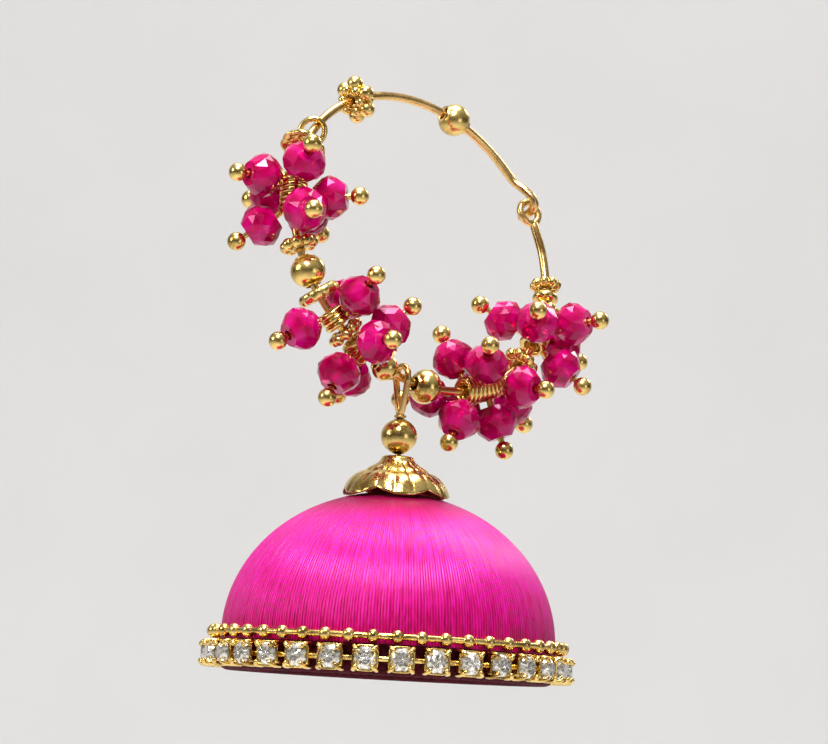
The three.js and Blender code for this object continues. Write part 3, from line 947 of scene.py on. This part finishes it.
@dataclass
class ThreadedMaker:
    """Shapes of the pieces on the hoop, each about its own origin with the hoop along Z."""

    bore: float = 0.62

    def ball(self, diameter: float, length: float) -> Shape:
        """Round bead, pressed a little at its holes.

        Args:
            diameter: in millimetres.
            length: along the hoop.

        Returns:
            The shape.
        """
        r, h = diameter / 2, length / 2
        mouth = self.bore + 0.12
        profile = [(self.bore, -h + 0.25), (self.bore + 0.02, -h + 0.06), (mouth, -h)]
        for i in range(1, 16):
            t = math.pi * (i / 16 - 0.5)
            edge = max(mouth, r * math.cos(t) ** 0.8)
            profile.append((edge, h * math.sin(t)))
        profile += [(mouth, h), (self.bore + 0.02, h - 0.06), (self.bore, h - 0.25)]
        return Shape().turned(profile, 32, closed=True)

    def knobbed(self, diameter: float, length: float, knobs: int = 8) -> Shape:
        """Ring of grains soldered round a small tube.

        Args:
            diameter: in millimetres.
            length: along the hoop.
            knobs: number of grains.

        Returns:
            The shape.
        """
        grain = min(length * 0.62, diameter * 0.165)
        reach = diameter / 2 - grain
        shape = Shape().turned(
            [(self.bore, -length * 0.42), (reach - 0.15, -length * 0.42), (reach + 0.05, -length * 0.2),
             (reach + 0.05, length * 0.2), (reach - 0.15, length * 0.42), (self.bore, length * 0.42)],
            28, closed=True)
        for angle in angles(knobs):
            shape.ball(polar(reach, angle), grain, 10, 7)
        return shape

    def daisy(self, diameter: float, length: float) -> Shape:
        """Round spacer with large grains round its waist and small ones at both holes.

        Args:
            diameter: in millimetres.
            length: along the hoop.

        Returns:
            The shape.
        """
        shape = self.ball(diameter * 0.6, length)
        large = diameter * 0.165
        for angle in angles(6):
            shape.ball(polar(diameter / 2 - large, angle), large, 16, 10)
        for side in (-1, 1):
            for angle in angles(6):
                place = polar(diameter * 0.24, angle + math.pi / 6, side * length * 0.36)
                shape.ball(place, large * 0.62, 10, 7)
        return shape

    def fluted(self, diameter: float, length: float) -> Shape:
        """Disc with a rounded, fluted edge.

        Args:
            diameter: in millimetres.
            length: along the hoop.

        Returns:
            The shape.
        """
        r, h = diameter / 2, length / 2

        def flutes(angle: float, row: int) -> float:
            """Factor on the radius: shallow flutes on the outer rows."""
            return 1.0 - (0.05 + 0.06 * abs(math.cos(angle * 7))) * (2 <= row <= 6)

        profile = [(self.bore, -h), (r * 0.72, -h), (r * 0.92, -h), (r * 1.0, -h * 0.6), (r * 1.05, 0),
                   (r * 1.0, h * 0.6), (r * 0.92, h), (r * 0.72, h), (self.bore, h)]
        return Shape().turned(profile, 112, closed=True, radius=flutes)

    def ring(self, diameter: float, length: float) -> Shape:
        """Plain wire ring, standing askew on the hoop.

        Args:
            diameter: in millimetres.
            length: along the hoop.

        Returns:
            The shape.
        """
        tilt = Matrix.Rotation(math.radians(19), 3, "Z") @ Matrix.Rotation(math.radians(48), 3, "Y")
        reach = diameter / 2 - 0.1
        path = [tilt @ Vector((reach * 1.12 * math.cos(t), reach * math.sin(t), -0.2)) for t in angles(32)]
        return Shape().tube(path, length * 0.45, 10, closed=True)

    def cap(self, diameter: float, length: float) -> Shape:
        """Small petalled cap, hollow towards the cluster.

        Args:
            diameter: in millimetres.
            length: along the hoop.

        Returns:
            The shape.
        """
        r, h = diameter / 2, length / 2

        def petals(angle: float, row: int) -> float:
            """Factor on the radius: petals below the neck."""
            return 1.0 + 0.07 * (abs(math.cos(angle * 4)) - 0.6) * (2 <= row <= 6)

        profile = [(self.bore, -h), (r * 0.4, -h - 0.05), (r * 0.62, -h * 0.7), (r * 0.86, 0), (r, h),
                   (r - 0.22, h), (r * 0.7, h * 0.15), (r * 0.45, -h * 0.35), (self.bore, -h + 0.4)]
        return Shape().turned(profile, 96, closed=True, radius=petals)

    def make(self, piece: Threaded) -> Shape:
        """The shape of one threaded piece.

        Args:
            piece: its row in the table.

        Returns:
            The shape.
        """
        forms = {Kind.BALL: self.ball, Kind.KNOBBED: self.knobbed, Kind.DAISY: self.daisy,
                 Kind.FLUTED: self.fluted, Kind.RING: self.ring, Kind.CAP: self.cap}
        return forms[piece.kind](piece.diameter, piece.length)


@dataclass
class Clusters:
    """Headpins with faceted beads, their loops side by side on the hoop."""

    hoop: Hoop
    bead_diameter: float = 4.12
    bead_length: float = 3.0
    bead_at: float = 3.4
    pin_wire: float = 0.64
    pin_ball: float = 1.7
    pitch: float = 0.53
    facets: int = 12

    def pins(self, centre: float, rows: Sequence[Row]) -> list[tuple[float, float, float]]:
        """Station, turn and lean of every pin of a cluster."""
        step = math.degrees(self.pitch / self.hoop.radius)
        return [(centre + (i - (len(rows) - 1) / 2) * step, *row) for i, row in enumerate(rows)]

    def metal(self, pins: Sequence[Row]) -> Shape:
        """Loops, wires and ball ends of one cluster.

        Args:
            pins: station, turn and lean of each pin.

        Returns:
            The shape.
        """
        shape = Shape()
        loop = self.hoop.wire / 2 + GAP + self.pin_wire / 2
        thin = self.pin_wire / 2 - 0.03
        start = self.bead_at - self.bead_length / 2
        end = self.bead_at + self.bead_length / 2 + GAP + self.pin_ball / 2
        for at, around, lean in pins:
            point, outward, _ = self.hoop.station(at)
            ring = [point + (outward * math.cos(t) + self.hoop.front * math.sin(t)) * loop
                    for t in angles(20)]
            shape.tube(ring, thin, 8, closed=True)
            way = self.hoop.pin_direction(at, around, lean)
            foot = point + self.hoop.pin_direction(at, around, 0) * (loop + 0.05)
            knots = [foot, point + way * (start - 0.2), point + way * (self.bead_at + 0.6), point + way * end]
            shape.tube(smooth_path(knots, 4), thin, 8)
            shape.ball(point + way * end, self.pin_ball / 2, 16, 12)
        return shape

    def bead(self) -> Shape:
        """Faceted rondelle about its own origin, with its hole along Z.

        Returns:
            The shape.
        """
        r, h = self.bead_diameter / 2, self.bead_length / 2
        rings = ((0.48, -h + 0.35, 0.0), (0.5, -h, 0.0), (r * 0.56, -h, 0.0), (r * 0.9, -h * 0.42, 0.5),
                 (r, 0.0, 0.0), (r * 0.9, h * 0.42, 0.5), (r * 0.56, h, 0.0), (0.5, h, 0.0),
                 (0.48, h - 0.35, 0.0))
        return Shape().faceted(rings, self.facets)

    def bead_places(self, pins: Sequence[Row], spin: random.Random) -> list[Matrix]:
        """Where the beads of a cluster go, each spun by chance about its pin.

        Args:
            pins: station, turn and lean of each pin.
            spin: source of the chance turns.

        Returns:
            A matrix for each bead.
        """
        places = []
        for at, around, lean in pins:
            point, outward, along = self.hoop.station(at)
            way = self.hoop.pin_direction(at, around, lean)
            place = along_axis(point + way * self.bead_at, way, outward.cross(along))
            places.append(place @ Matrix.Rotation(spin.uniform(0, math.tau), 4, "Z"))
        return places


@dataclass
class Drop:
    """The jhumka: eye, bead, cap, silk dome, ball chain and stones, under one point of the hoop.

    Sizes are in millimetres, and beads, balls and wires are given by their diameters.
    """

    top: Vector
    along: Vector
    hoop_wire: float
    wire: float = 0.6
    eye_height: float = 3.4
    bead: float = 3.3
    bead_below: float = 5.3
    cap_top: float = 7.1
    cap_height: float = 3.7
    cap_radius: float = 4.75
    petals: int = 6
    scallop: float = 0.6
    cap_seat: float = 0.45  # crown inside the cap
    radius: float = 15.0
    height: float = 13.4
    skirt: float = 3.3  # wall under the equator
    wound: float = 0.55  # thread under the equator
    wall: float = 1.5
    hole: float = 1.3  # radius, at the crown
    chain_ball: float = 1.15
    balls: int = 46
    stones: int = 32
    cup: float = 2.4
    cup_depth: float = 1.3
    chain_rise: float = 0.1  # balls over the equator
    cup_rise: float = 0.2
    seat: float = 0.1  # between the dome and its trim

    @property
    def equator(self) -> float:
        """How far the dome's equator lies below the hoop wire."""
        return self.cap_top + self.cap_height - self.cap_seat + self.height

    def at(self, height: float) -> Matrix:
        """Matrix of a place on the drop's axis, by its height from the hoop wire."""
        return Matrix.Translation(self.top + Vector((0, 0, height)))

    def eye(self) -> Shape:
        """Tear-shaped wire loop, its pin and the stop inside the dome.

        Returns:
            The shape.
        """
        level = Vector((self.along.x, self.along.y, 0)).normalized()
        swing = Vector((0, 0, 1)).cross(level)
        up = Vector((0, 0, 1))
        r = self.hoop_wire / 2 + GAP + self.wire / 2 + 0.05
        knots = [self.top + swing * r * math.cos(t) + up * r * math.sin(t)
                 for t in (math.radians(a) for a in range(-30, 211, 20))]
        h = self.eye_height
        knots += [self.top + swing * a + up * z for a, z in ((-0.55, -h * 0.62), (0, -h), (0.55, -h * 0.62))]
        shape = Shape().tube(smooth_path(knots, 4, closed=True), self.wire / 2, 12, closed=True)
        under = -(self.equator - self.height) - self.wall - GAP
        pin = [(0.02, under - 0.6), (self.wire / 2, under - 0.6), (self.wire / 2, -h + 0.1), (0.02, -h + 0.1)]
        shape.turned(pin, 14, self.at(0))
        collar = [self.top + polar(0.42, t, -h - 0.12) for t in angles(16)]
        shape.tube(collar, 0.15, 6, closed=True)
        return shape.turned([(0.02, under - 1), (1.5, under - 1), (1.9, under - 0.7), (2.0, under - 0.4),
                             (1.9, under), (0.02, under)], 32, self.at(0))

    def bead_shape(self) -> Shape:
        """Round bead over the cap.

        Returns:
            The shape.
        """
        r, hole = self.bead / 2, 0.5
        profile = [(hole, -r * 0.7)]
        profile += [(max(hole, r * math.cos(t)), r * 0.96 * math.sin(t))
                    for t in (math.pi * (i / 18 - 0.5) for i in range(1, 18))]
        profile += [(hole, r * 0.7)]
        return Shape().turned(profile, 36, self.at(-self.bead_below), closed=True)

    def cap(self) -> Shape:
        """Cap with a bossed crown and ribbed, scalloped petals.

        Returns:
            The shape.
        """
        rows = [  # radius, height, share of the petals' swell, depth of the ridges
            (0.62, 0.0, 0.0, 0.0), (1.2, 0.02, 0.0, 0.0), (1.42, -0.08, 0.0, 0.0), (1.5, -0.26, 0.0, 0.0),
            (1.66, -0.5, 0.0, 0.03), (2.05, -0.78, 0.05, 0.08), (2.5, -1.0, 0.12, 0.1),
            (2.72, -1.14, 0.2, 0.08), (2.86, -1.28, 0.25, 0.06), (3.3, -1.4, 0.35, 0.1),
            (3.8, -1.68, 0.5, 0.12), (4.2, -2.05, 0.68, 0.12), (4.5, -2.45, 0.85, 0.1),
            (4.7, -2.82, 1.0, 0.08), (4.78, -2.98, 1.0, 0.05), (4.74, -3.08, 1.0, 0.03),
            (4.55, -3.0, 1.0, 0.0), (4.3, -2.6, 0.85, 0.0), (3.8, -2.15, 0.6, 0.0), (3.2, -1.8, 0.4, 0.0),
            (2.4, -1.55, 0.12, 0.0), (1.5, -1.1, 0.0, 0.0), (0.62, -0.8, 0.0, 0.0),
        ]
        # The rows are drawn for a cap of 4.75 by 3.3 mm
        wide, tall = self.cap_radius / 4.75, self.cap_height / 3.3
        grid = []
        for reach, height, share, ridge in rows:
            row = []
            for angle in angles(self.petals * 30):
                petal = (abs(math.cos(angle * self.petals / 2)) ** 0.8 - 0.6) * share * self.scallop
                rib = ridge * (abs(math.cos(angle * self.petals * 1.5)) ** 0.6 - 0.5)
                z = height * tall - petal + rib * 0.8 - self.cap_top
                row.append(self.top + polar(reach * wide + petal * 0.5 + rib, angle, z))
            grid.append(row)
        return Shape().grid(grid, wrap_rows=True)

    def ridges(self, sides: int) -> list[float]:
        """Low relief of the thread bundles round the dome, in millimetres.

        Args:
            sides: number of steps round the dome.

        Returns:
            A height for each step.
        """
        chance = random.Random(11)
        one, two, three, four = (chance.uniform(0, math.tau) for _ in range(4))
        heights = []
        for angle in angles(sides):
            wander = 1.6 * math.sin(3 * angle + one) + 1.1 * math.sin(7 * angle + two)
            heights.append(0.028 * math.sin(58 * angle + wander + three)
                           + 0.022 * math.sin(97 * angle - wander * 1.7 + four))
        return heights

    def shell(self, profile: Sequence[Row], sides: int = 420) -> Shape:
        """Turns a profile of radius, height over the equator and share of the ridges.

        Args:
            profile: the rows, from one edge to the other.
            sides: number of steps round the dome.

        Returns:
            The shape.
        """
        heights = self.ridges(sides)
        return Shape().grid([[self.top + polar(r + ridge * share - 0.02, angle, z - self.equator)
                              for angle, ridge in zip(angles(sides), heights)] for r, z, share in profile])

    def dome(self) -> Shape:
        """Wound outside of the dome, down to the ball chain.

        Returns:
            The shape.
        """
        profile = [(self.hole, self.height - 0.9, 0.3), (self.hole + 0.12, self.height - 0.4, 0.3),
                   (self.hole + 0.4, self.height - 0.12, 0.3)]
        for i in range(41):
            t = math.radians(90 * (1 - i / 40))
            r, z = self.radius * math.cos(t), self.height * math.sin(t)
            if r > self.hole + 0.6:
                profile.append((r, z, min(1.0, r / 8)))
        return self.shell(profile + [(self.radius, -self.wound, 1)])

    def lining(self) -> Shape:
        """Plain band behind the cups, the rim and the inside of the dome.

        Returns:
            The shape.
        """
        low, reach, height = -self.skirt, self.radius - self.wall, self.height - self.wall
        profile = [(self.radius, -self.wound, 1), (self.radius, low * 0.7, 1),
                   (self.radius - 0.08, low + 0.42, 1), (self.radius - 0.28, low + 0.14, 1),
                   (self.radius - 0.6, low, 1),
                   (reach + 0.5, low, 1), (reach + 0.2, low + 0.16, 1), (reach + 0.02, low + 0.5, 1),
                   (reach, low * 0.6, 0.8)]
        for i in range(25):
            t = math.radians(90 * i / 24)
            r, z = reach * math.cos(t), height * math.sin(t)
            if r > self.hole + 0.5:
                profile.append((r, z, -0.8))
        return self.shell(profile + [(self.hole, height + 0.1, 0), (self.hole, self.height - 0.9, 0.3)])

    def chain_places(self) -> list[Matrix]:
        """Places of the balls of the chain.

        Returns:
            A matrix for each ball.
        """
        reach = self.radius + self.seat + self.chain_ball / 2
        return [self.at(-self.equator + self.chain_rise) @ Matrix.Rotation(math.tau * i / self.balls, 4, "Z")
                @ Matrix.Translation((reach, 0, 0)) for i in range(self.balls)]

    def chain_ball_shape(self) -> Shape:
        """One ball with the short link that leads to the next.

        Returns:
            The shape, about the middle of the ball.
        """
        reach = self.radius + self.seat + self.chain_ball / 2
        pitch = math.tau / self.balls
        path = [polar(reach, pitch * k / 4) - Vector((reach, 0, 0)) for k in range(5)]
        return Shape().ball(Vector(), self.chain_ball / 2 + 0.04, 14, 10).tube(path, 0.3, 8)

    def stone_places(self) -> list[Matrix]:
        """Places of the cups: local Z points away from the dome.

        Returns:
            A matrix for each cup.
        """
        middle = -(self.equator - self.cup_rise + self.chain_ball / 2 + GAP + self.cup / 2)
        turn = Matrix.Rotation(math.pi / 2, 4, "Y")
        return [self.at(middle) @ Matrix.Rotation(math.tau * i / self.stones, 4, "Z")
                @ Matrix.Translation((self.radius + self.seat, 0, 0)) @ turn for i in range(self.stones)]

    def cup_shape(self) -> Shape:
        """Square cup with four prongs folded over the stone, and the bars to its neighbours.

        Returns:
            The shape, about the middle of its back.
        """
        shape = Shape()
        w, d = self.cup / 2, self.cup_depth

        def ring(half: float, corner: float, z: float) -> list[Vector]:
            """Square with rounded corners.

            Args:
                half: half its width.
                corner: radius of its corners.
                z: its height.

            Returns:
                The points round it.
            """
            points = []
            for q in range(4):
                cx = (half - corner) * (1 if q in (0, 3) else -1)
                cy = (half - corner) * (1 if q in (0, 1) else -1)
                for k in range(4):
                    t = math.pi / 2 * (q + k / 3)
                    points.append(Vector((cx + corner * math.cos(t), cy + corner * math.sin(t), z)))
            return points

        rows = [ring(w * 0.86, 0.5, 0.02), ring(w * 0.93, 0.55, d * 0.35), ring(w * 0.97, 0.6, d * 0.72),
                ring(w * 0.97, 0.62, d * 0.86), ring(w * 0.86, 0.6, d * 0.86), ring(w * 0.8, 0.55, d * 0.45)]
        shape.grid(rows)
        shape.cap(list(reversed(rows[0]))).cap(rows[-1])
        for q in range(4):
            turn = Matrix.Rotation(math.pi / 4 + q * math.pi / 2, 3, "Z")
            reach = w * 1.2
            path = [turn @ Vector((reach, 0, d * 0.3)), turn @ Vector((reach * 1.01, 0, d * 0.78)),
                    turn @ Vector((reach * 0.96, 0, d * 1.06)), turn @ Vector((reach * 0.84, 0, d * 1.2)),
                    turn @ Vector((reach * 0.7, 0, d * 1.24))]
            shape.tube(smooth_path(path, 2), 0.2, 7)
        for side in (-1, 1):
            path = [Vector((0, side * w * 0.8, 0.45)), Vector((0, side * (w + 0.25), 0.4)),
                    Vector((0, side * (w + 0.6), 0.32))]
            shape.tube(smooth_path(path, 2), 0.26, 8)
        return shape

    def stone_shape(self) -> Shape:
        """Cut stone: table, star, kite and girdle facets.

        Returns:
            The shape, about the middle of its cup.
        """
        sides, z = 8, self.cup_depth
        rings = ((1.1, z * 0.5, 0.0), (1.1, z * 0.86, 0.0), (0.9, z * 0.86 + 0.3, 0.5),
                 (0.62, z * 0.86 + 0.52, 0.0))
        shape = Shape().faceted(rings, sides, 0.5)
        return shape.cap(shape.points[-sides:]).cap(list(reversed(shape.points[:sides])))


@dataclass
class Studio:
    """Pale floor, backdrop, soft lights and the camera at the photograph's angle."""

    azimuth: float = -38.4
    elevation: float = -4.0
    roll: float = 3.1
    distance: float = 0.5
    lens: float = 240.0
    target: tuple[float, float, float] = (-0.0022, -0.0075, -0.0258)
    lit: tuple[float, float, float] = (-0.004, -0.008, -0.03)
    floor_z: float = -0.26
    sweep_from: float = 0.8
    sweep_radius: float = 0.4
    half_width: float = 2.2

    def material(self, name: str, tone: Row) -> bpy.types.Material:
        """Matt pale material with a faint mottle.

        Args:
            name: of the material.
            tone: its colour.

        Returns:
            The material.
        """
        recipe = Recipe(name).set(Roughness=0.75, Specular_IOR_Level=0.2)
        x, y, z = recipe.place()
        mottle = recipe.noise((x, y, z), 0.02, 2.0)
        recipe.colour(mottle.spread(0.2, 0.8), tuple(0.96 * c for c in tone), tone)
        return recipe.material

    def sweep(self) -> None:
        """Floor that curves up into a backdrop."""
        turn = Matrix.Rotation(math.radians(self.azimuth), 3, "Z")
        bend, wall = self.sweep_radius, self.sweep_from + self.sweep_radius
        profile = [(-2.0, 0.0), (-0.5, 0.0), (0.3, 0.0), (self.sweep_from, 0.0)]
        profile += [(self.sweep_from + bend * math.sin(t), bend - bend * math.cos(t))
                    for t in (math.radians(a) for a in range(10, 91, 10))]
        profile += [(wall, 1.0), (wall, 2.2)]
        middle = Vector((-5, -9, self.floor_z * PER_METRE))
        rows = [[turn @ Vector((x, y, z)) * PER_METRE + middle
                 for x in (-self.half_width, 0, self.half_width)] for y, z in profile]
        mesh = Shape().grid(rows, wrap_columns=False).mesh("floor")
        floor = bpy.data.objects.new("floor", mesh)
        mesh.materials.append(self.material("pale_floor", (0.80, 0.79, 0.78)))
        bpy.context.scene.collection.objects.link(floor)
        floor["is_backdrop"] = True

    def light(self, name: str, at: Row, aim: Row, size: float, power: float, tint: Row = (1, 1, 1)) -> None:
        """One soft area light.

        Args:
            name: of the light.
            at: its place in metres, in the camera's turned axes: right, away and up.
            aim: the point that it faces, in metres.
            size: edge length in metres.
            power: in watts.
            tint: colour.
        """
        data = bpy.data.lights.new(name, "AREA")
        data.shape = "SQUARE"
        data.size = size
        data.energy = power
        data.color = tint
        lamp = bpy.data.objects.new(name, data)
        place = Matrix.Rotation(math.radians(self.azimuth), 3, "Z") @ Vector(at)
        lamp.location = place
        lamp.rotation_euler = (Vector(aim) - place).to_track_quat("-Z", "Y").to_euler()
        bpy.context.scene.collection.objects.link(lamp)

    def world(self) -> None:
        """Soft surround: bright above, dim at the horizon."""
        world = bpy.data.worlds.new("surround")
        bpy.context.scene.world = world
        world.use_nodes = True
        nodes = Nodes(world.node_tree)
        *_, height = nodes.axes(nodes.node("TexCoord").outputs["Generated"])
        stops = ((0.3, (0.30, 0.28, 0.27)), (0.55, (0.16, 0.14, 0.13)), (0.95, (1.0, 1.0, 1.0)))
        ramp = nodes.node("ValToRGB", {"stops": stops}, {0: (height + 1.0) * 0.5})
        back = world.node_tree.nodes["Background"]
        world.node_tree.links.new(ramp.outputs[0], back.inputs["Color"])
        back.inputs["Strength"].default_value = 0.5

    def camera(self) -> None:
        """Camera at the photograph's angle."""
        a, e, roll = (math.radians(v) for v in (self.azimuth, self.elevation, self.roll))
        back = Vector((math.sin(a) * math.cos(e), -math.cos(a) * math.cos(e), math.sin(e)))
        right = Vector((math.cos(a), math.sin(a), 0))
        up = back.cross(right)
        right, up = (right * math.cos(roll) + up * math.sin(roll),
                     up * math.cos(roll) - right * math.sin(roll))
        data = bpy.data.cameras.new("camera")
        data.lens, data.sensor_width = self.lens, 36.0
        data.clip_start, data.clip_end = 0.01, 10.0
        seen = bpy.data.objects.new("camera", data)
        matrix = Matrix((right, up, back)).transposed().to_4x4()
        matrix.translation = Vector(self.target) + back * self.distance
        seen.matrix_world = matrix
        bpy.context.scene.collection.objects.link(seen)
        bpy.context.scene.camera = seen

    def build(self) -> None:
        """Puts everything round the object."""
        self.sweep()
        self.world()
        self.light("key", (-0.05, -0.25, 0.3), self.lit, 0.12, 1.9, (1.0, 0.97, 0.95))
        self.light("fill", (0.3, -0.3, -0.02), self.lit, 0.16, 0.12, (0.95, 0.93, 1.0))
        self.light("left", (-0.3, -0.12, 0.08), self.lit, 0.12, 0.3, (1.0, 0.95, 0.9))
        self.light("top", (0.02, -0.02, 0.34), self.lit, 0.14, 0.7, (0.92, 0.9, 1.0))
        self.light("rim", (0.2, 0.24, 0.16), self.lit, 0.1, 0.2)
        self.light("wash", (0.0, 0.3, 0.9), (0.72, 0.93, 0.05), 0.7, 9.0)
        self.camera()
        scene = bpy.context.scene
        scene.view_settings.view_transform = "Standard"
        scene.view_settings.look = "None"


@dataclass
class Earring:
    """Builds every piece and says which CAD nodes it stands for."""

    hoop: Hoop = field(default_factory=Hoop)
    drop_at: float = -19.8

    def __post_init__(self) -> None:
        """Places the drop and makes the finishes."""
        point, _, along = self.hoop.station(self.drop_at)
        self.drop = Drop(point, along, self.hoop.wire)
        self.repeater = Repeater()
        self.gold = GoldFinish().material("gold_plate")
        self.wire_gold = GoldFinish(bright=(0.88, 0.59, 0.22), roughness=0.24).material("gold_wire")
        self.pink = PinkFinish().material("pink_glass")
        silk = SilkFinish((point.x, point.y), point.z - self.drop.equator, self.drop.height)
        self.silk = silk.material("silk_thread")
        self.lining = ShadedLiningFinish().material("dome_lining")
        self.crystal = CrystalFinish().material("clear_stone")

    def build_hoop(self) -> None:
        """The wire and the pieces threaded on it."""
        add_piece("hoop", self.hoop.shape().mesh("hoop"), self.wire_gold, Body.HOOP, ["hoop_wire"])
        maker = ThreadedMaker()
        for piece in THREADED:
            point, _, along = self.hoop.station(piece.at)
            shape = maker.make(piece)
            place = along_axis(point, along, self.hoop.front)
            shape.points = [place @ p for p in shape.points]
            add_piece(f"{piece.name}_gold", shape.mesh(piece.name), self.gold, Body.HOOP,
                      [piece.name])

    def build_clusters(self) -> None:
        """The headpins and their beads."""
        makers = Clusters(self.hoop)
        spin = random.Random(5)
        number = 1
        for index, (centre, rows) in enumerate(CLUSTERS, 1):
            pins = makers.pins(centre, rows)
            metal = makers.metal(pins).mesh(f"headpins_{index}")
            add_piece(f"headpins_{index}", metal, self.gold, Body.HOOP, [f"cluster_{index}_pins"])
            names = [f"pink_bead_{number + i}" for i in range(len(pins))]
            number += len(pins)
            beads = self.repeater.copies(f"beads_{index}", makers.bead(), makers.bead_places(pins, spin),
                                         self.pink, 0.01, index)
            add_piece(f"beads_{index}", beads, self.pink, Body.HOOP, names)

    def build_drop(self) -> None:
        """Everything that hangs from the eye."""
        drop = self.drop
        for name, shape, finish, slot, nodes in (
            ("eye", drop.eye(), self.wire_gold, Slot.GOLD, ["drop_eye"]),
            ("neck_bead", drop.bead_shape(), self.gold, Slot.GOLD, ["drop_bead"]),
            ("petal_cap", drop.cap(), self.gold, Slot.GOLD, ["bead_cap"]),
            ("wound_dome", drop.dome(), self.silk, Slot.SILK, ["silk_dome"]),
            # The lining's finish is painted shade: near black inside the dome and behind the cups.
            ("dome_lining", drop.lining(), self.lining, Slot.SILK, []),
        ):
            add_piece(name, shape.mesh(name), finish, Body.DROP, nodes)
        chain = self.repeater.copies("rim_balls", drop.chain_ball_shape(), drop.chain_places(), self.gold)
        add_piece("rim_balls", chain, self.gold, Body.DROP, ["ball_chain"])
        cups = self.repeater.copies("rim_cups", drop.cup_shape(), drop.stone_places(), self.gold)
        add_piece("rim_cups", cups, self.gold, Body.DROP, ["stone_chain"])
        stones = self.repeater.copies("rim_stones", drop.stone_shape(), drop.stone_places(), self.crystal)
        add_piece("rim_stones", stones, self.crystal, Body.DROP)


def main() -> None:
    """Builds the earring and its studio."""
    logging.basicConfig(level=logging.INFO, format="%(name)s: %(message)s")
    earring = Earring()
    earring.build_hoop()
    earring.build_clusters()
    earring.build_drop()
    Studio().build()
    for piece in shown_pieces():
        log.info("%s: %d faces", piece.name, len(piece.data.polygons))


if __name__ == "__main__":
    main()
